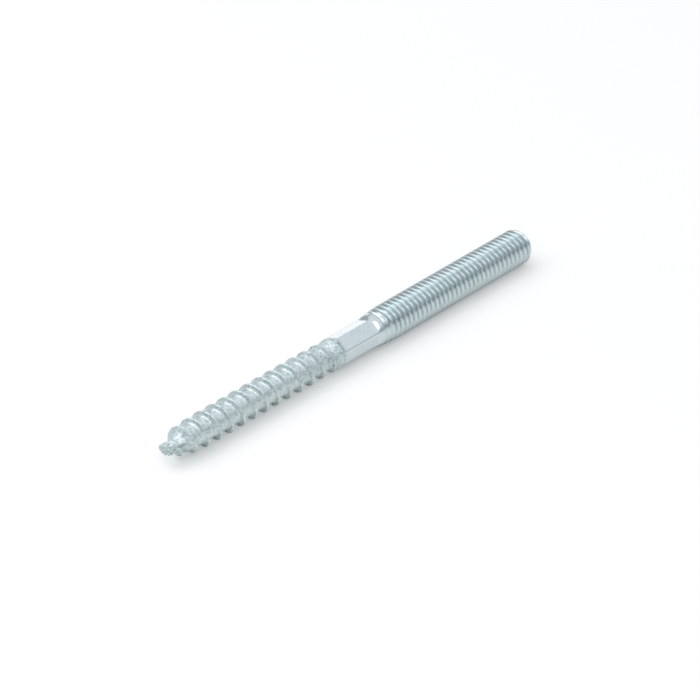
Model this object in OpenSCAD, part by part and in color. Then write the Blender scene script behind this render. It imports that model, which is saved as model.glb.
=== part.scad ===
// Hanger bolt: one steel rod with a machine thread on one end, a short pressed
// hexagon in the middle and a coarse wood-screw thread with a point on the other end.
//
// The bolt lies along X. The origin is on its axis, where the machine end begins:
// the machine end runs towards +X, the hexagon and the wood thread towards -X.
// Both threads are right-hand. The machine end is a plain cylinder of the thread's
// outside diameter.

/* [Machine end] */
// Length of the machine-threaded end, chamfer included
machine_len = 35; // [20:1:60]
// Outside diameter of the machine thread
machine_d = 5.9; // [5.6:0.05:6.2]
// Length of the chamfer on the machine end
chamfer_len = 0.9; // [0.3:0.1:1.5]
// Depth of the chamfer, measured on the radius
chamfer_depth = 0.6; // [0.3:0.05:1]

/* [Hexagon] */
// Length of the unthreaded middle that holds the hexagon
hex_len = 9; // [7:0.5:14]
// Width of the hexagon across its flats
hex_across_flats = 4.35; // [4:0.05:4.6]
// Diameter of the round blank between the threads
blank_d = 5.3; // [5.1:0.05:5.5]
// Turn of the hexagon about the bolt's axis, in degrees
hex_turn = 37; // [0:1:60]
// Distance from the machine end at which the flats begin to sweep outwards
sweep_start = 3.4; // [3:0.1:4.5]
// Radius of that sweep
sweep_r = 6; // [4:0.5:9]
// Distance from the wood thread to the flats' other ends
flat_gap = 0.25; // [0.15:0.05:1]
// Radius at those ends
flat_end_r = 1.2; // [0.8:0.1:2]
// Length of the rounded shoulder from the blank up to the machine end
shoulder_len = 2.2; // [1.5:0.1:3]
// Distance from the machine end at which the shoulder has its full diameter
shoulder_gap = 0.8; // [0.4:0.1:1.2]

/* [Wood thread] */
// Length of the wood-screw end, point included
wood_len = 36; // [24:1:60]
// Outside diameter of the wood thread
wood_d = 5.3; // [5.1:0.05:5.6]
// Diameter of the core between the ridges
core_d = 3.8; // [3.2:0.1:4.2]
// Distance from one ridge to the next
wood_pitch = 2.5; // [2:0.1:3]
// Width of a ridge at its crest
crest_w = 0.22; // [0.15:0.01:0.35]
// Slope of a ridge's two flanks, measured from square to the axis, in degrees
flank_angle = 28; // [20:1:32]
// Length over which the groove runs out into the blank
runout_len = 2; // [1:0.1:3]
// Turn of the thread about the bolt's axis, in degrees
thread_turn = 225; // [0:5:355]

/* [Point] */
// Length of the torn stub on the tip
stub_len = 2.1; // [1:0.1:3]
// Diameter of the torn stub
stub_d = 1.9; // [1.4:0.1:2.4]
// How far the torn stub departs from round
stub_tear = 0.16; // [0:0.02:0.24]
// Length over which the core tapers to the stub
point_len = 2.6; // [2:0.1:5]
// Length over which the first ridge rises from the stub
first_ridge_len = 1.5; // [1:0.1:3]
// How much lower the first ridge is than the full thread, measured on the radius
first_ridge_drop = 0.25; // [0.1:0.05:0.4]
// Length over which the ridges reach full height after the first
ridge_taper_len = 4; // [2:0.5:8]

/* [Hidden] */

$fn = 96;
steel = [0.74, 0.78, 0.8];
facing_out = 3;        // reach of a flat's cutter beyond the metal
side_reach = 4;        // half-width of a flat's cutter
shoulder_steps = 5;    // cones that make up the rounded shoulder
seam_turn = 180;       // puts the round end's seam on top

machine_r = machine_d / 2;
blank_r = blank_d / 2;
flat_r = hex_across_flats / 2;
wood_end = -hex_len;
tip = wood_end - wood_len;

// The threaded end's mesh stops inside the blank and is this much thinner there.
thread_bury = 0.1;
thread_skin = 0.02;

// ---- shape of the wood thread, as a radius for each place on it ----

core_r = core_d / 2;
stub_r = stub_d / 2;
stub_end = tip + stub_len;
first_ridge = stub_end + first_ridge_len;
runout_start = wood_end - runout_len;
seated_r = blank_r - thread_skin;

function ramp(x, from, to) = max(0, min(1, (x - from) / (to - from)));
function smooth(t) = t * t * (3 - 2 * t);
function mix(a, b, t) = a + (b - a) * t;

// A torn edge: a few waves round the stub, stronger towards the tip.
function tear(x, angle) =
    stub_tear * (1 - ramp(x, tip, stub_end + 0.6))
    * (sin(2 * angle + 40) + 0.7 * sin(5 * angle + 90 * x) + 0.5 * sin(9 * angle - 150 * x)) / 1.4;

function core_at(x) =
    x < runout_start
    ? mix(stub_r, core_r, smooth(ramp(x, stub_end, stub_end + point_len)))
    : mix(core_r, seated_r, smooth(ramp(x, runout_start, wood_end)));

function crest_at(x) =
    x < first_ridge
    ? mix(stub_r, wood_d / 2 - first_ridge_drop, ramp(x, stub_end - 0.3, first_ridge))
    : mix(
        mix(wood_d / 2 - first_ridge_drop, wood_d / 2, ramp(x, first_ridge, first_ridge + ridge_taper_len)),
        seated_r,
        ramp(x, runout_start, wood_end)
    );

function surface_r(x, angle, height) =
    mix(core_at(x), max(core_at(x), crest_at(x)), height) + tear(x, angle);

// ---- the mesh of the wood thread: rows follow the helix, columns stand round the axis ----

columns = 30;
ridge_h = wood_d / 2 - core_r;
foot = crest_w / 2 + ridge_h * tan(flank_angle);
// One pitch of the thread, as [distance from the crest's middle, share of the height]
pitch_profile = [
    [-foot - 0.25, 0],
    [-foot, 0.1],
    [-crest_w / 2, 1],
    [crest_w / 2, 1],
    [foot, 0.1],
    [foot + 0.25, 0],
    [wood_pitch / 2, 0]
];
profile_points = len(pitch_profile);
mesh_end = wood_end + thread_bury;
mesh_start = tip - 2 * wood_pitch;
mesh_turns = ceil((mesh_end - mesh_start) / wood_pitch) + 3;
mesh_rows = mesh_turns * profile_points;

function row_x(i, j) =
    mesh_start + wood_pitch * (floor(i / profile_points) + j / columns)
    + pitch_profile[i % profile_points][0];
function column_angle(j) = 360 * j / columns;
// The tip's torn end face is uneven.
function tip_x(j) = tip + 0.3 + 0.3 * sin(2 * column_angle(j) + 60) * sin(3 * column_angle(j));

function on_axis(x, r, angle) = [x, r * cos(angle + thread_turn), r * sin(angle + thread_turn)];

thread_points = [
    for (i = [0:mesh_rows - 1], j = [0:columns - 1])
        let (x = row_x(i, j), angle = column_angle(j))
        on_axis(x, surface_r(x, angle, pitch_profile[i % profile_points][1]), angle)
];
tip_points = [
    for (j = [0:columns - 1])
        on_axis(tip_x(j), surface_r(tip_x(j), column_angle(j), 0), column_angle(j))
];
end_points = [
    for (j = [0:columns - 1])
        on_axis(mesh_end, seated_r, column_angle(j))
];
tip_row = mesh_rows * columns;
end_row = tip_row + columns;
tip_centre = end_row + columns;

// Where a place on the grid lies past either end, it is that end's own point.
function at(i, j) =
    j == columns ? at(i + profile_points, 0)
    : row_x(i, j) <= tip_x(j) + 0.05 ? tip_row + j
    : row_x(i, j) >= mesh_end - 0.02 ? end_row + j
    : i * columns + j;
function corners(i, j) = [at(i, j), at(i + 1, j), at(i + 1, j + 1), at(i, j + 1)];
function sound(f) = f[0] != f[1] && f[1] != f[2] && f[2] != f[0];

thread_faces = [
    for (i = [0:mesh_rows - profile_points - 2], j = [0:columns - 1])
        let (c = corners(i, j))
        for (f = [[c[0], c[1], c[2]], [c[0], c[2], c[3]]])
            if (sound(f)) f
];
tip_faces = [
    for (j = [0:columns - 1])
        [tip_row + j, tip_row + (j + 1) % columns, tip_centre]
];
end_face = [for (j = [columns - 1:-1:0]) end_row + j];

module wood_thread() {
    polyhedron(
        points = concat(thread_points, tip_points, end_points, [[tip, 0, 0]]),
        faces = concat(thread_faces, tip_faces, [end_face])
    );
}

// ---- the turned and pressed rest of the bolt ----

shoulder_top = -shoulder_gap;
shoulder_foot = shoulder_top - shoulder_len;

// Turns a profile drawn as [distance along the bolt, radius] about the bolt's axis.
module turned() {
    rotate([0, 90, 0]) rotate(seam_turn) rotate_extrude() mirror([1, -1]) children();
}

module blank_and_machine_end() {
    turned() polygon(concat(
        [[wood_end, 0], [wood_end, blank_r], [shoulder_foot, blank_r]],
        [for (k = [1:shoulder_steps])
            let (t = k / shoulder_steps)
            [mix(shoulder_foot, shoulder_top, t), mix(blank_r, machine_r, sin(90 * t))]],
        [
            [machine_len - chamfer_len, machine_r],
            [machine_len, machine_r - chamfer_depth],
            [machine_len, 0]
        ]
    ));
}

// What one flat takes away: level with the flat, then round and out at both ends.
module flat_cut() {
    drop = blank_r - flat_r;
    first = wood_end + flat_gap + sqrt(flat_end_r ^ 2 - (flat_end_r - drop) ^ 2);
    last = -sweep_start;
    rotate([90, 0, 0]) linear_extrude(2 * side_reach, center = true) {
        translate([first, flat_r]) square([last - first, facing_out]);
        intersection() {
            translate([last, flat_r + sweep_r]) circle(sweep_r);
            translate([last, flat_r]) square([sweep_r, facing_out]);
        }
        intersection() {
            translate([first, flat_r + flat_end_r]) circle(flat_end_r);
            translate([first - flat_end_r, flat_r]) square([flat_end_r, flat_end_r]);
        }
    }
}

module hanger_bolt() {
    color(steel) difference() {
        union() {
            blank_and_machine_end();
            wood_thread();
        }
        for (k = [0:5]) rotate([hex_turn + 60 * k, 0, 0]) flat_cut();
    }
}

hanger_bolt();
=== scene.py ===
import math

import bmesh
import bpy
from bpy.props import FloatProperty, FloatVectorProperty, IntProperty, PointerProperty
from mathutils import Matrix, Vector, noise


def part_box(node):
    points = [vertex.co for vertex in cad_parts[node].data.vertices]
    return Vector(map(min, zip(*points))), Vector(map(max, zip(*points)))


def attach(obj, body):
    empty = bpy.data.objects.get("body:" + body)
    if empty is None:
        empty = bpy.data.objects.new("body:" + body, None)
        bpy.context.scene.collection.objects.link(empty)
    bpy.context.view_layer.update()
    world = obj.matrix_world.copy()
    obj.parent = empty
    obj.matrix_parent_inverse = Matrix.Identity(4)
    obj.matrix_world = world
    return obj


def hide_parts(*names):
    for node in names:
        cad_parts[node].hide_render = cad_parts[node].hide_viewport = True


bl_info = {
    "name": "Hanger Bolt",
    "version": (1, 0, 0),
    "blender": (4, 5, 0),
    "location": "3D View > Sidebar > Hanger Bolt",
    "description": "A zinc-plated hanger bolt with a rolled machine thread, a pressed "
    "hexagon and a pointed wood thread, and a pale studio floor to show it on",
    "category": "Add Mesh",
}

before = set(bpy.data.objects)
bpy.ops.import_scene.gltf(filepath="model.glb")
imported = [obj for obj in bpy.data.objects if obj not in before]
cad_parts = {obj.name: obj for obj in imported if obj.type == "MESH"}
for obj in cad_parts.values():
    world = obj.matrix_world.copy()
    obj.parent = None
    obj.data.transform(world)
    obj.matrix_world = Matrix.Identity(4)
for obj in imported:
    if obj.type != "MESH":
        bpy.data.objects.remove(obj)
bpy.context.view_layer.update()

BOLT_NODE = "hanger_bolt"
MM = 0.001
FULL_TURN = 2 * math.pi

# Where the plating changes: (start, end) in millimetres from the place that is named.
WOOD_EDGE = (0.0, 1.6)  # from the wood thread's end
MACHINE_EDGE = (-1.0, 1.0)  # from the machine end
TORN_EDGE = (3.5, 6.0)  # from the tip
CHAFED_THREAD = (-11.0, -3.0)  # from the wood thread's end
CHAFED_TIP = (1.2, 2.4)  # from the tip

# The mark on the first ridge, in degrees round the bolt and millimetres from the tip. The four
# numbers of a lip or ledge are where it starts, is full, starts to fall and is gone.
LIP_TURN = (122, 156, 157, 162)
LIP_REACH = (1.5, 3.0, 3.2, 3.6)
LEDGE_TURN = 166
LEDGE_SPAN = 9
LEDGE_REACH = (1.2, 1.9, 3.2, 3.6)
LEDGE_DEPTH = 0.9  # as a share of the lip's height
PIT_TURN = 122
PIT_SPAN = 18
PIT_REACH = 3.6
PIT_LEN = 0.6
PIT_DEPTH = 1.3  # as a share of the lip's height

# The torn stub, in millimetres.
TEAR_FADE = 0.4  # how far past the stub its creases go
BREAK_FADE = 1.3  # how far along the stub the break's unevenness goes

# Fineness of the mesh, in millimetres.
FINE_RINGS = 0.06
FLAT_RINGS = 0.3
EDGE_ROUND = 0.05  # rounding where a flat meets the round blank
CHAMFER_ROUND = 0.04  # rounding of the thread's crests into the chamfer
SAME_POINT = 1e-4
SAME_RING = 1e-3

FLOOR_REACH = 3.0  # metres from the bolt to the floor's edges
FLOOR_WHITE = 0.98  # brightness of the floor where it glows
# Painted shadow: the near-black that the floor turns towards in reflections close under the bolt
PAINTED_SHADOW_UNDER_BOLT = (0.05, 0.055, 0.055)
ROOM_LIGHT = (0.96, 0.97, 1.0)
ROOM_DIM = (0.29, 0.33, 0.365)
ROOM_SEEN = 0.88
ROOM_MIRRORED = 0.12  # added where the bolt mirrors the room
NEAR_SIDE = (-0.85, -0.52, 0.0)  # towards the camera
# Each lamp as name, place in metres, size in metres, watts and tint; all aim at the origin.
LAMPS = (
    ("key_lamp", (-0.20, 0.25, 0.55), 0.6, 1.35, (1.0, 1.0, 1.0)),
    ("rim_lamp", (0.61, 0.79, 0.06), 0.35, 0.34, (1.0, 0.87, 0.905)),
    ("side_lamp", (-0.28, -0.32, 0.58), 0.42, 0.70, (1.0, 1.0, 1.0)),
)


# ---- what a user may change ------------------------------------------------------------------


def length(name, description, millimetres):
    return FloatProperty(
        name=name,
        description=description,
        default=millimetres * MM,
        precision=5,
        subtype="DISTANCE",
        unit="LENGTH",
    )


def turn(name, description, degrees):
    return FloatProperty(
        name=name,
        description=description,
        default=math.radians(degrees),
        subtype="ANGLE",
        unit="ROTATION",
    )


def amount(name, description, value, low=0.0, high=1.0):
    return FloatProperty(
        name=name, description=description, default=value, min=low, max=high
    )


def colour(name, description, value):
    return FloatVectorProperty(
        name=name,
        description=description,
        default=value,
        size=3,
        min=0.0,
        max=1.0,
        subtype="COLOR",
    )


class BoltSizes(bpy.types.PropertyGroup):
    """Sizes of the bolt; its axis is X and its machine end begins at the origin"""

    columns: IntProperty(
        name="Columns",
        description="Faces round the bolt; a multiple of twelve keeps the hexagon's corners sharp",
        default=96,
        min=24,
    )
    machine_len: length("Machine end", "Length of the machine thread, chamfer included", 35)
    machine_d: length("Machine diameter", "Outside diameter of the machine thread", 5.9)
    machine_pitch: length("Machine pitch", "Distance from one machine crest to the next", 1.0)
    machine_depth: length("Machine depth", "Depth of the machine thread", 0.6)
    machine_turn: turn("Machine turn", "Turn of the machine thread about the axis", 125)
    chamfer_len: length("Chamfer", "Length of the chamfer on the machine end", 0.9)
    chamfer_depth: length("Chamfer depth", "Depth of that chamfer on the radius", 0.6)
    lead_len: length("Lead", "Length over which the blank rises to full diameter", 5)
    lead_start: length("Lead start", "How far before the machine end it begins", 1.2)
    hex_len: length("Middle", "Length of the unthreaded middle", 9)
    hex_flats: length("Across flats", "Width of the hexagon across its flats", 4.35)
    hex_turn: turn("Hexagon turn", "Turn of the hexagon about the bolt's axis", 38)
    hex_corner_r: length("Corner radius", "Rounding of the hexagon's corners", 0.06)
    blank_d: length("Blank diameter", "Diameter of the round blank", 4.95)
    sweep_start: length("Sweep start", "Where the flats begin to sweep out", 1.6)
    sweep_r: length("Sweep radius", "Radius of that sweep", 2.2)
    flat_gap: length("Flat gap", "Distance from the wood thread to the flats", 0.25)
    flat_end_r: length("Flat end radius", "Radius at the flats' ends by the wood thread", 1.2)
    wood_len: length("Wood end", "Length of the wood thread, point included", 35.5)
    wood_d: length("Wood diameter", "Outside diameter of the wood thread", 5.2)
    core_d: length("Core diameter", "Diameter of the core between the ridges", 3.8)
    wood_pitch: length("Wood pitch", "Distance from one ridge to the next", 2.45)
    crest_w: length("Crest width", "Width of a ridge at its crest", 0.22)
    flank_angle: turn("Flank angle", "Slope of a ridge's flanks from square to the axis", 28)
    thread_turn: turn("Thread turn", "Turn of the wood thread about the axis", 240)
    runout_len: length("Run-out", "Length over which the groove runs out", 2)
    fade_len: length("Fade", "Length over which the ridges sink to the blank", 7)
    stub_len: length("Stub", "Length of the torn stub on the tip", 1.6)
    stub_d: length("Stub diameter", "Diameter of the torn stub", 1.9)
    stub_tear: length("Tear", "How far the torn stub departs from round", 0.3)
    burr_height: length("Burr", "Height of the lip on the first ridge", 0.36)
    point_len: length("Point", "Length over which the core tapers to the stub", 2.6)
    first_ridge_len: length("First ridge", "Length over which the first ridge rises", 1.5)
    first_ridge_drop: length("First ridge drop", "How much lower the first ridge is", 0.25)
    ridge_taper_len: length("Ridge taper", "Length over which the ridges reach full height", 4)


class BoltFinish(bpy.types.PropertyGroup):
    """Colours of the plating"""

    machine: colour("Machine end", "The clean zinc of the machine end", (0.58, 0.665, 0.68))
    middle: colour("Middle", "The clean zinc of the hexagon", (0.61, 0.695, 0.715))
    wood: colour("Wood end", "The clean zinc of the wood end", (0.66, 0.745, 0.75))
    dull: colour("Dull", "The zinc where it is clouded and between its crystals", (0.36, 0.43, 0.44))
    fleck: colour("Fleck", "Dark flecks where it is torn or chafed", (0.13, 0.16, 0.165))
    rough: amount("Roughness", "Roughness of the smooth plating", 0.24)
    wood_rough: amount("Wood roughness", "Roughness of the plating on the wood end", 0.48)


class StudioLook(bpy.types.PropertyGroup):
    """The floor, the light and the camera"""

    floor: colour("Floor", "Colour of the floor", (0.945, 0.945, 0.93))
    floor_glow: amount("Floor glow", "How white the floor stays in its shadows", 0.44)
    mirrored_glow: amount("Mirrored glow", "The same, where the bolt mirrors the floor", 0.5)
    azimuth: turn("Azimuth", "The camera's direction round the bolt", -46.87)
    elevation: turn("Elevation", "The camera's height above the floor", 33.04)
    distance: length("Distance", "From the camera to what it looks at", 477.4)
    lens: FloatProperty(
        name="Lens", description="Focal length in millimetres", default=161.5, min=10.0
    )
    target_x: length("Target X", "What the camera looks at, along X", -6.3)
    target_y: length("Target Y", "What the camera looks at, along Y", -1.3)


# ---- shader nodes written as expressions -----------------------------------------------------


class Socket:
    """An output socket that takes part in sums; each operator adds its Math node."""

    def __init__(self, tree, link):
        self.tree = tree
        self.link = link

    def _math(self, operation, *values):
        return self.tree.node("ShaderNodeMath", {"operation": operation}, dict(enumerate(values)))

    def __add__(self, other):
        return self._math("ADD", self, other)

    def __sub__(self, other):
        return self._math("SUBTRACT", self, other)

    def __mul__(self, other):
        return self._math("MULTIPLY", self, other)

    def __radd__(self, other):
        return self._math("ADD", other, self)

    def __rsub__(self, other):
        return self._math("SUBTRACT", other, self)

    def __rmul__(self, other):
        return self._math("MULTIPLY", other, self)

    def size(self):
        return self._math("ABSOLUTE", self)

    def at_least(self, other):
        return self._math("MAXIMUM", self, other)

    def ramp(self, low, high, start=0.0, end=1.0):
        """start below low, end above high, and smooth between."""
        return self.tree.node(
            "ShaderNodeMapRange",
            {"interpolation_type": "SMOOTHSTEP"},
            {"Value": self, "From Min": low, "From Max": high, "To Min": start, "To Max": end},
        )


class Shader:
    """The nodes of one material, world or lamp."""

    def __init__(self, tree):
        self.tree = tree
        tree.nodes.clear()

    def node(self, kind, settings=None, inputs=None, output=0):
        made = self.tree.nodes.new(kind)
        for name, value in (settings or {}).items():
            setattr(made, name, value)
        for name, value in (inputs or {}).items():
            socket = self._input(made, name)
            if isinstance(value, Socket):
                self.tree.links.new(value.link, socket)
            else:
                socket.default_value = value
        return Socket(self, made.outputs[output]) if made.outputs else None

    @staticmethod
    def _input(made, name):
        if isinstance(name, int):
            return made.inputs[name]
        return next(s for s in made.inputs if s.name == name and s.enabled)

    def mix(self, share, first, second):
        """Colours mixed by share; either may be a link."""
        return self.node(
            "ShaderNodeMix",
            {"data_type": "RGBA"},
            {"Factor": share, "A": first, "B": second},
            output=2,
        )


def rgba(value):
    return (*value, 1.0)


# ---- the plating -----------------------------------------------------------------------------


def stretch(place, edges):
    """Where a stretch starts and ends, for edges in millimetres from a place."""
    return [place + edge * MM for edge in edges]


def zinc_plating(finish, sizes):
    """Bright zinc: smooth on the hexagon, finely crystalline and duller on the wood end."""
    material = bpy.data.materials.new("zinc_plating")
    material.use_nodes = True
    shader = Shader(material.node_tree)
    place = shader.node("ShaderNodeTexCoord", output=3)

    def speckle(scale, detail, roughness=0.55):
        return shader.node(
            "ShaderNodeTexNoise",
            {},
            {"Vector": place, "Scale": scale, "Detail": detail, "Roughness": roughness},
        )

    grain = speckle(5200.0, 2.0, 0.6)
    cloud = speckle(420.0, 3.0)
    scuff = speckle(1500.0, 2.0, 0.5)
    crystals = speckle(2600.0, 3.0, 0.65)
    flecks = speckle(4300.0, 2.0, 0.6)
    along = shader.node("ShaderNodeSeparateXYZ", {}, {0: place}, output=0)
    wood_end = -sizes.hex_len
    wood = along.ramp(*stretch(wood_end, WOOD_EDGE), 1.0, 0.0)
    machine = along.ramp(*stretch(0.0, MACHINE_EDGE))
    ends = shader.mix(machine, rgba(finish.middle), rgba(finish.machine))
    clean = shader.mix(wood, ends, rgba(finish.wood))
    tip = wood_end - sizes.wood_len
    torn = along.ramp(*stretch(tip, TORN_EDGE), 1.0, 0.0)
    spots = crystals.ramp(0.46, 0.66) * (0.12 + wood * 0.6)
    pale = shader.mix(
        spots.at_least(cloud.ramp(0.5, 0.85) * 0.5), clean, rgba(finish.dull)
    )
    chafed = along.ramp(*stretch(wood_end, CHAFED_THREAD)) * wood
    chafed = chafed.at_least(along.ramp(*stretch(tip, CHAFED_TIP), 0.55, 0.0))
    base = shader.mix(flecks.ramp(0.56, 0.65) * chafed * 0.6, pale, rgba(finish.fleck))
    smoother = (1.0 - wood) * finish.rough + wood * finish.wood_rough
    rough = smoother + torn.at_least(chafed) * 0.16 + (grain - 0.5) * 0.12
    height = (grain * 0.6 + scuff * 0.9) * (0.45 + wood * 1.4)
    bump = shader.node(
        "ShaderNodeBump",
        {},
        {"Strength": 0.35, "Distance": 0.00002, "Height": height},
    )
    surface = shader.node(
        "ShaderNodeBsdfPrincipled",
        {},
        {"Base Color": base, "Metallic": 1.0, "Roughness": rough, "Normal": bump},
    )
    shader.node("ShaderNodeOutputMaterial", {}, {"Surface": surface})
    return material


# ---- the bolt's form, in millimetres ---------------------------------------------------------


def ramp(x, start, end):
    return max(0.0, min(1.0, (x - start) / (end - start)))


def plateau(x, rise, top, fall, foot):
    """0 before rise, 1 from top to fall, and 0 again past foot."""
    return ramp(x, rise, top) * (1 - ramp(x, fall, foot))


def smooth(t):
    return t * t * (3 - 2 * t)


def mix(a, b, t):
    return a + (b - a) * t


def soft_min(a, b, width):
    """The smaller of two, with the corner between them rounded over that width."""
    h = max(width - abs(a - b), 0.0) / width
    return min(a, b) - h * h * width / 4


class BoltForm:
    """The bolt's radius at each place, worked out from its sizes."""

    def __init__(self, sizes):
        mm = {
            name: getattr(sizes, name) / MM
            for name, kind in BoltSizes.__annotations__.items()
            if kind.keywords.get("unit") == "LENGTH"
        }
        self.columns = sizes.columns
        self.step = FULL_TURN / sizes.columns
        self.machine_r = mm["machine_d"] / 2
        self.machine_len = mm["machine_len"]
        self.machine_pitch = mm["machine_pitch"]
        self.machine_depth = mm["machine_depth"]
        self.chamfer_len = mm["chamfer_len"]
        self.chamfer_depth = mm["chamfer_depth"]
        self.flat_r = mm["hex_flats"] / 2
        self.corner_r = mm["hex_corner_r"]
        self.blank_r = mm["blank_d"] / 2
        self.sweep_start = -mm["sweep_start"]
        self.sweep_r = mm["sweep_r"]
        self.flat_end_r = mm["flat_end_r"]
        self.wood_end = -mm["hex_len"]
        self.tip = self.wood_end - mm["wood_len"]
        drop = self.blank_r - self.flat_r
        reach = math.sqrt(self.flat_end_r**2 - (self.flat_end_r - drop) ** 2)
        self.flat_start = self.wood_end + mm["flat_gap"] + reach
        self.lead_foot = -mm["lead_start"]
        self.lead_top = self.lead_foot + mm["lead_len"]
        self.wood_r = mm["wood_d"] / 2
        self.core_r = mm["core_d"] / 2
        self.wood_pitch = mm["wood_pitch"]
        self.crest_w = mm["crest_w"]
        self.flank_slope = math.tan(sizes.flank_angle)
        self.thread_turn = sizes.thread_turn
        self.machine_turn = sizes.machine_turn
        self.runout_start = self.wood_end - mm["runout_len"]
        self.fade_start = self.wood_end - mm["fade_len"]
        self.stub_r = mm["stub_d"] / 2
        self.stub_end = self.tip + mm["stub_len"]
        self.stub_tear = mm["stub_tear"]
        self.burr_height = mm["burr_height"]
        self.point_end = self.stub_end + mm["point_len"]
        self.first_ridge = self.stub_end + mm["first_ridge_len"]
        self.first_ridge_drop = mm["first_ridge_drop"]
        self.ridge_taper_end = self.first_ridge + mm["ridge_taper_len"]
        # The first flat faces this way, and a column stands on each of the hexagon's corners.
        self.flat_angle = math.radians(90) + sizes.hex_turn
        self.first_column = (self.flat_angle + FULL_TURN / 12) % self.step

    # the wood thread

    def core_at(self, x):
        if x < self.runout_start:
            taper = smooth(ramp(x, self.stub_end, self.point_end))
            return mix(self.stub_r, self.core_r, taper)
        return mix(self.core_r, self.blank_r, smooth(ramp(x, self.runout_start, self.wood_end)))

    def crest_at(self, x):
        first = self.wood_r - self.first_ridge_drop
        if x < self.first_ridge:
            return mix(self.stub_r, first, ramp(x, self.stub_end - 0.3, self.first_ridge))
        full = mix(first, self.wood_r, ramp(x, self.first_ridge, self.ridge_taper_end))
        return mix(full, self.blank_r, ramp(x, self.fade_start, self.wood_end))

    def tear(self, x, angle):
        """Creases and burrs of the torn stub, deeper towards the tip."""
        share = 1 - ramp(x, self.tip, self.stub_end + TEAR_FADE)
        place = Vector((1.1 * x, 1.6 * math.cos(angle), 1.6 * math.sin(angle)))
        crease = abs(noise.noise(place))
        burr = noise.noise(place * 3.0)
        return self.stub_tear * share * (0.55 - 2.6 * crease + 0.6 * burr)

    def broken_off(self, x, angle):
        """How far the break stands back from the tip there, fading along the stub."""
        share = 1 - ramp(x, self.tip, self.tip + BREAK_FADE)
        slant = 0.5 + 0.5 * math.cos(angle - self.thread_turn)
        burr = noise.noise(Vector((0.0, 2.5 * math.cos(angle), 2.5 * math.sin(angle))))
        return share * (0.45 * slant + 0.3 * abs(burr))

    def burr(self, x, angle):
        """The lip on the first ridge, with a ledge below it and a pit beside it."""
        turned = math.degrees(angle) % 360
        beside = x - self.tip
        lip = plateau(turned, *LIP_TURN) * plateau(beside, *LIP_REACH)
        ledge = 1 - min(1.0, abs(turned - LEDGE_TURN) / LEDGE_SPAN)
        ledge *= plateau(beside, *LEDGE_REACH)
        off = math.hypot((beside - PIT_REACH) / PIT_LEN, (turned - PIT_TURN) / PIT_SPAN)
        pit = max(0.0, 1 - off)
        return self.burr_height * (lip - LEDGE_DEPTH * smooth(ledge) - PIT_DEPTH * smooth(pit))

    def wood_r_at(self, x, angle, height):
        core = self.core_at(x)
        ridge = mix(core, max(core, self.crest_at(x)), height)
        return ridge + self.tear(x, angle) + self.burr(x, angle)

    def wood_profile(self):
        """One pitch, as (distance from the crest's middle, share of the ridge's height)."""
        half = self.crest_w / 2
        foot = half + (self.wood_r - self.core_r) * self.flank_slope
        rise = [
            (foot + 0.22, 0.0),
            (foot + 0.08, 0.03),
            (foot - 0.04, 0.13),
            (mix(foot, half, 0.40), 0.41),
            (mix(foot, half, 0.70), 0.70),
            (half + 0.05, 0.90),
            (half, 0.97),
            (half * 0.45, 1.0),
        ]
        left = [(-t, h) for t, h in rise]
        right = [(t, h) for t, h in reversed(rise)]
        middle = self.wood_pitch / 2
        gap = mix(foot + 0.22, middle, 0.5)
        return left + right + [(gap, 0.0), (middle, 0.0), (2 * middle - gap, 0.0)]

    # the blank, the hexagon and the shoulder

    def round_r_at(self, x):
        rise = ramp(x, self.lead_foot, self.lead_top)
        return mix(self.blank_r, self.machine_r, math.sin(rise * math.pi / 2))

    def flat_at(self, x):
        """How far a flat stands from the axis."""
        if x > self.sweep_start:
            run = min(x - self.sweep_start, self.sweep_r)
            return self.flat_r + self.sweep_r - math.sqrt(self.sweep_r**2 - run**2)
        if x < self.flat_start:
            run = self.flat_start - x
            if run >= self.flat_end_r:
                return self.flat_r + 2 * self.flat_end_r
            return self.flat_r + self.flat_end_r - math.sqrt(self.flat_end_r**2 - run**2)
        return self.flat_r

    def hexagon_r(self, flat, angle):
        """Distance from the axis to a hexagon with rounded corners, in that direction."""
        sixth = FULL_TURN / 6
        off = (angle - self.flat_angle + sixth / 2) % sixth - sixth / 2
        centre = (flat - self.corner_r) / math.cos(sixth / 2)
        turn_start = math.atan2((flat - self.corner_r) * math.tan(sixth / 2), flat)
        if abs(off) <= turn_start:
            return flat / math.cos(off)
        aside = sixth / 2 - abs(off)
        across = centre * math.sin(aside)
        return centre * math.cos(aside) + math.sqrt(self.corner_r**2 - across**2)

    def middle_r_at(self, x, angle):
        flat = self.hexagon_r(self.flat_at(x), angle)
        return soft_min(self.round_r_at(x), flat, EDGE_ROUND)

    # the machine thread

    def machine_profile(self):
        """One pitch, as (distance from the crest's middle, share of the thread's depth)."""
        pitch = self.machine_pitch
        rise = [(0.43, 0.0), (0.385, 0.06), (0.25, 0.53), (0.105, 0.90), (0.06, 0.985)]
        left = [(-t * pitch, h) for t, h in rise]
        right = [(t * pitch, h) for t, h in reversed(rise)]
        return left + [(0.0, 1.0)] + right + [(0.5 * pitch, 0.0)]

    def machine_r_at(self, x, height):
        depth = self.machine_depth * smooth(ramp(x, 0.0, self.machine_pitch * 0.9))
        crest = self.round_r_at(x)
        root = min(crest, self.machine_r - depth)
        cone = self.machine_r - self.chamfer_depth * ramp(
            x, self.machine_len - self.chamfer_len, self.machine_len
        )
        return soft_min(mix(root, crest, height), cone, CHAMFER_ROUND)


# ---- meshes ----------------------------------------------------------------------------------


def chain(bm, points):
    """A line of edges in the XY plane through (distance along the axis, radius)."""
    verts = [bm.verts.new((x, r, 0.0)) for x, r in points]
    edges = [bm.edges.new(pair) for pair in zip(verts, verts[1:])]
    return verts + edges


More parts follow.
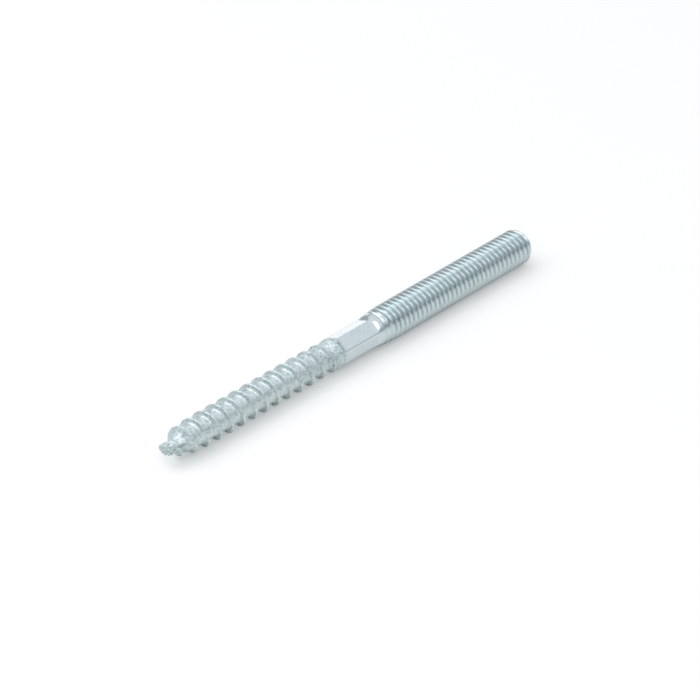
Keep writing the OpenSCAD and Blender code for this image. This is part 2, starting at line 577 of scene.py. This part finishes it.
def swept(form, points, lead):
    """The line turned once about the axis; with a lead, it advances that far in the turn."""
    bm = bmesh.new()
    line = chain(bm, points)
    bmesh.ops.rotate(
        bm,
        verts=[v for v in line if isinstance(v, bmesh.types.BMVert)],
        cent=(0, 0, 0),
        matrix=Matrix.Rotation(form.first_column, 3, "X"),
    )
    bmesh.ops.spin(
        bm,
        geom=line,
        cent=(0, 0, 0),
        axis=(1, 0, 0),
        dvec=(lead / form.columns, 0, 0),
        angle=FULL_TURN,
        steps=form.columns,
        use_merge=False,
        use_duplicate=False,
    )
    bmesh.ops.remove_doubles(bm, verts=bm.verts, dist=SAME_POINT)
    return bm


def angle_of(co):
    return math.atan2(co.z, co.y)


def set_radius(vert, x, radius):
    old = math.hypot(vert.co.y, vert.co.z)
    vert.co = Vector((x, vert.co.y * radius / old, vert.co.z * radius / old))


def thread_points(profile, first_crest, pitch, start, end):
    """The profile repeated from before start to past end; its radius is 1 + its height."""
    turns = math.ceil((end - start) / pitch) + 4
    return [
        (first_crest + pitch * (n - 2) + t, 1.0 + h) for n in range(turns) for t, h in profile
    ]


def threaded(form, profile, first_crest, pitch, start, end, radius_at, snap=0.02):
    """A helical skin from start to end; each of its ends is a ring with one corner a column."""
    points = thread_points(profile, first_crest, pitch, start, end)
    bm = swept(form, points, pitch)
    for vert in bm.verts:
        height = math.hypot(vert.co.y, vert.co.z) - 1.0
        x = vert.co.x
        if x < start + snap:
            x, height = start, 0.0
        elif x > end - snap:
            x, height = end, 0.0
        set_radius(vert, x, radius_at(x, angle_of(vert.co), height))
    bmesh.ops.remove_doubles(bm, verts=bm.verts, dist=SAME_POINT)
    return bm


def ringed(form, places, radius_at):
    """A skin of straight rings at those places along the axis."""
    bm = swept(form, [(x, 1.0) for x in places], 0.0)
    for vert in bm.verts:
        set_radius(vert, vert.co.x, radius_at(vert.co.x, angle_of(vert.co)))
    return bm


def spread(start, end, step):
    count = max(1, math.ceil((end - start) / step))
    return [mix(start, end, n / count) for n in range(count + 1)]


def joined(parts):
    """Several meshes as one, with the rings that they share merged."""
    whole = bmesh.new()
    for part in parts:
        mesh = bpy.data.meshes.new("part")
        part.to_mesh(mesh)
        part.free()
        whole.from_mesh(mesh)
        bpy.data.meshes.remove(mesh)
    bmesh.ops.remove_doubles(whole, verts=whole.verts, dist=SAME_RING)
    return whole


def bolt_mesh(sizes):
    form = BoltForm(sizes)
    lead_in = (form.first_column - form.thread_turn) / FULL_TURN
    wood_crest = form.tip - 2 * form.wood_pitch + form.wood_pitch * (lead_in % 1)
    wood = threaded(
        form,
        form.wood_profile(),
        wood_crest,
        form.wood_pitch,
        form.tip,
        form.wood_end,
        form.wood_r_at,
    )
    for vert in wood.verts:
        vert.co.x += form.broken_off(vert.co.x, angle_of(vert.co))
    middle = ringed(
        form,
        spread(form.wood_end, form.flat_start, FINE_RINGS)[:-1]
        + spread(form.flat_start, form.sweep_start, FLAT_RINGS)[:-1]
        + spread(form.sweep_start, 0.0, FINE_RINGS),
        form.middle_r_at,
    )
    machine = threaded(
        form,
        form.machine_profile(),
        form.machine_pitch * (form.first_column - form.machine_turn) / FULL_TURN,
        form.machine_pitch,
        0.0,
        form.machine_len,
        lambda x, angle, height: soft_min(
            form.machine_r_at(x, height), form.hexagon_r(form.flat_at(x), angle), EDGE_ROUND
        ),
    )
    bm = joined([wood, middle, machine])
    open_edges = [e for e in bm.edges if e.is_boundary]
    bmesh.ops.holes_fill(bm, edges=open_edges, sides=0)
    # The torn stub can turn the whole skin inside out.
    bmesh.ops.recalc_face_normals(bm, faces=bm.faces)
    if bm.calc_volume(signed=True) < 0:
        bmesh.ops.reverse_faces(bm, faces=bm.faces)
    bad = [e for e in bm.edges if not e.is_manifold]
    if bad:
        raise RuntimeError(f"the bolt's skin is open or doubled at {len(bad)} edges")
    bmesh.ops.scale(bm, vec=(MM, MM, MM), verts=bm.verts)
    for face in bm.faces:
        face.smooth = len(face.verts) <= 4
    mesh = bpy.data.meshes.new("hanger_bolt_skin")
    bm.to_mesh(mesh)
    bm.free()
    return mesh


# ---- operators -------------------------------------------------------------------------------


class OBJECT_OT_rolled_bolt(bpy.types.Operator):
    """Make the bolt: rolled machine thread, pressed hexagon and pointed wood thread"""

    bl_idname = "hanger_bolt.rolled_bolt"
    bl_label = "Hanger Bolt"

    def execute(self, context):
        scene = context.scene
        mesh = bolt_mesh(scene.bolt_sizes)
        piece = bpy.data.objects.new("hanger_bolt_rolled", mesh)
        scene.collection.objects.link(piece)
        mesh.materials.append(zinc_plating(scene.bolt_finish, scene.bolt_sizes))
        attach(piece, "root")
        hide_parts(BOLT_NODE)
        return {"FINISHED"}


def floor_material(look):
    """A pale floor that glows a little, by other amounts to the camera and in reflections; near the
    bolt it carries painted shade.
    """
    material = bpy.data.materials.new("studio_floor")
    material.use_nodes = True
    shader = Shader(material.node_tree)
    place = shader.node("ShaderNodeTexCoord", output=3)
    aside = shader.node("ShaderNodeSeparateXYZ", {}, {0: place}, output=1).size()
    glossy = shader.node("ShaderNodeLightPath", output=3)
    # Painted shadow: in reflections the floor darkens towards that near-black, by up to 0.22 within
    # 1.5 mm of the bolt's axis, fading out by 2.8 mm
    painted_shadow_share = glossy * aside.ramp(1.5 * MM, 2.8 * MM, 0.22, 0.0)
    tone = shader.mix(painted_shadow_share, rgba(look.floor), rgba(PAINTED_SHADOW_UNDER_BOLT))
    matte = shader.node("ShaderNodeBsdfDiffuse", {}, {"Color": tone})
    glow = shader.node(
        "ShaderNodeEmission", {}, {"Color": (1, 1, 1, 1), "Strength": FLOOR_WHITE}
    )
    seen = shader.node("ShaderNodeLightPath", output=0) * look.floor_glow
    # Painted shade: for the camera the glow falls to 0.55 of itself within 2 mm of the bolt's axis.
    # In reflections there is none within 1.5 mm, rising to full by 3.5 mm. So the floor's shadow
    # beside the bolt stays deep.
    seen = seen * aside.ramp(2 * MM, 7 * MM, 0.55)
    share = seen.at_least(glossy * look.mirrored_glow * aside.ramp(1.5 * MM, 3.5 * MM))
    surface = shader.node("ShaderNodeMixShader", {}, {0: share, 1: matte, 2: glow})
    shader.node("ShaderNodeOutputMaterial", {}, {"Surface": surface})
    return material


def studio_world():
    """A pale room: bright above and along the floor, with a dimmer wall between."""
    world = bpy.data.worlds.new("studio_world")
    world.use_nodes = True
    shader = Shader(world.node_tree)
    direction = shader.node("ShaderNodeTexCoord", output=0)
    height = shader.node("ShaderNodeSeparateXYZ", {}, {0: direction}, output=2)
    near_side = shader.node(
        "ShaderNodeVectorMath",
        {"operation": "DOT_PRODUCT"},
        {0: direction, 1: Vector(NEAR_SIDE).normalized()},
        output=1,
    )
    near = near_side.ramp(0.3, 0.9) * height.ramp(0.15, 0.6, 1.0, 0.0)
    wall = height.ramp(0.02, 0.14) * height.ramp(0.34, 0.6, 1.0, 0.0)
    dim = near.at_least(wall * 0.8)
    tone = shader.mix(dim, rgba(ROOM_LIGHT), rgba(ROOM_DIM))
    mirrored = shader.node("ShaderNodeLightPath", output=3)
    strength = ROOM_SEEN + mirrored * ROOM_MIRRORED
    background = shader.node(
        "ShaderNodeBackground", {}, {"Color": tone, "Strength": strength}
    )
    shader.node("ShaderNodeOutputWorld", {}, {"Surface": background})
    return world


def soft_lamp(scene, name, place, size, watts, tint):
    data = bpy.data.lights.new(name, "AREA")
    data.shape = "DISK"
    data.size = size
    data.energy = watts
    data.color = tint
    lamp = bpy.data.objects.new(name, data)
    lamp.location = place
    lamp.rotation_euler = (-Vector(place)).to_track_quat("-Z", "Y").to_euler()
    scene.collection.objects.link(lamp)


class OBJECT_OT_studio(bpy.types.Operator):
    """Set up the pale floor, the soft light and the camera"""

    bl_idname = "hanger_bolt.studio"
    bl_label = "Studio"

    def execute(self, context):
        scene = context.scene
        look = scene.studio_look
        low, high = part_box(BOLT_NODE)
        bm = bmesh.new()
        bmesh.ops.create_grid(bm, x_segments=1, y_segments=1, size=FLOOR_REACH)
        bmesh.ops.translate(bm, verts=bm.verts, vec=(0, 0, low.z))
        mesh = bpy.data.meshes.new("studio_floor")
        bm.to_mesh(mesh)
        bm.free()
        floor = bpy.data.objects.new("studio_floor", mesh)
        scene.collection.objects.link(floor)
        mesh.materials.append(floor_material(look))

        scene.world = studio_world()
        for lamp in LAMPS:
            soft_lamp(scene, *lamp)

        target = Vector((look.target_x, look.target_y, 0))
        back = Vector(
            (
                math.sin(look.azimuth) * math.cos(look.elevation),
                -math.cos(look.azimuth) * math.cos(look.elevation),
                math.sin(look.elevation),
            )
        )
        data = bpy.data.cameras.new("studio_camera")
        data.lens = look.lens
        data.sensor_width = 36.0
        data.clip_start = 0.01
        camera = bpy.data.objects.new("studio_camera", data)
        camera.location = target + back * look.distance
        camera.rotation_euler = back.to_track_quat("Z", "Y").to_euler()
        scene.collection.objects.link(camera)
        scene.camera = camera
        scene.view_settings.view_transform = "Standard"
        return {"FINISHED"}


class VIEW3D_PT_hanger_bolt(bpy.types.Panel):
    """Hanger bolt and studio"""

    bl_label = "Hanger Bolt"
    bl_space_type = "VIEW_3D"
    bl_region_type = "UI"
    bl_category = "Hanger Bolt"

    def draw(self, context):
        scene = context.scene
        for group, operator in (
            (scene.bolt_sizes, OBJECT_OT_rolled_bolt),
            (scene.bolt_finish, None),
            (scene.studio_look, OBJECT_OT_studio),
        ):
            column = self.layout.column(align=True)
            for name in group.bl_rna.properties.keys():
                if name not in ("rna_type", "name"):
                    column.prop(group, name)
            if operator:
                self.layout.operator(operator.bl_idname)


CLASSES = (
    BoltSizes,
    BoltFinish,
    StudioLook,
    OBJECT_OT_rolled_bolt,
    OBJECT_OT_studio,
    VIEW3D_PT_hanger_bolt,
)


def register():
    for cls in CLASSES:
        bpy.utils.register_class(cls)
    bpy.types.Scene.bolt_sizes = PointerProperty(type=BoltSizes)
    bpy.types.Scene.bolt_finish = PointerProperty(type=BoltFinish)
    bpy.types.Scene.studio_look = PointerProperty(type=StudioLook)


def unregister():
    for name in ("studio_look", "bolt_finish", "bolt_sizes"):
        delattr(bpy.types.Scene, name)
    for cls in reversed(CLASSES):
        bpy.utils.unregister_class(cls)


def main():
    register()
    bpy.ops.hanger_bolt.rolled_bolt()
    bpy.ops.hanger_bolt.studio()


if __name__ == "__main__":
    main()
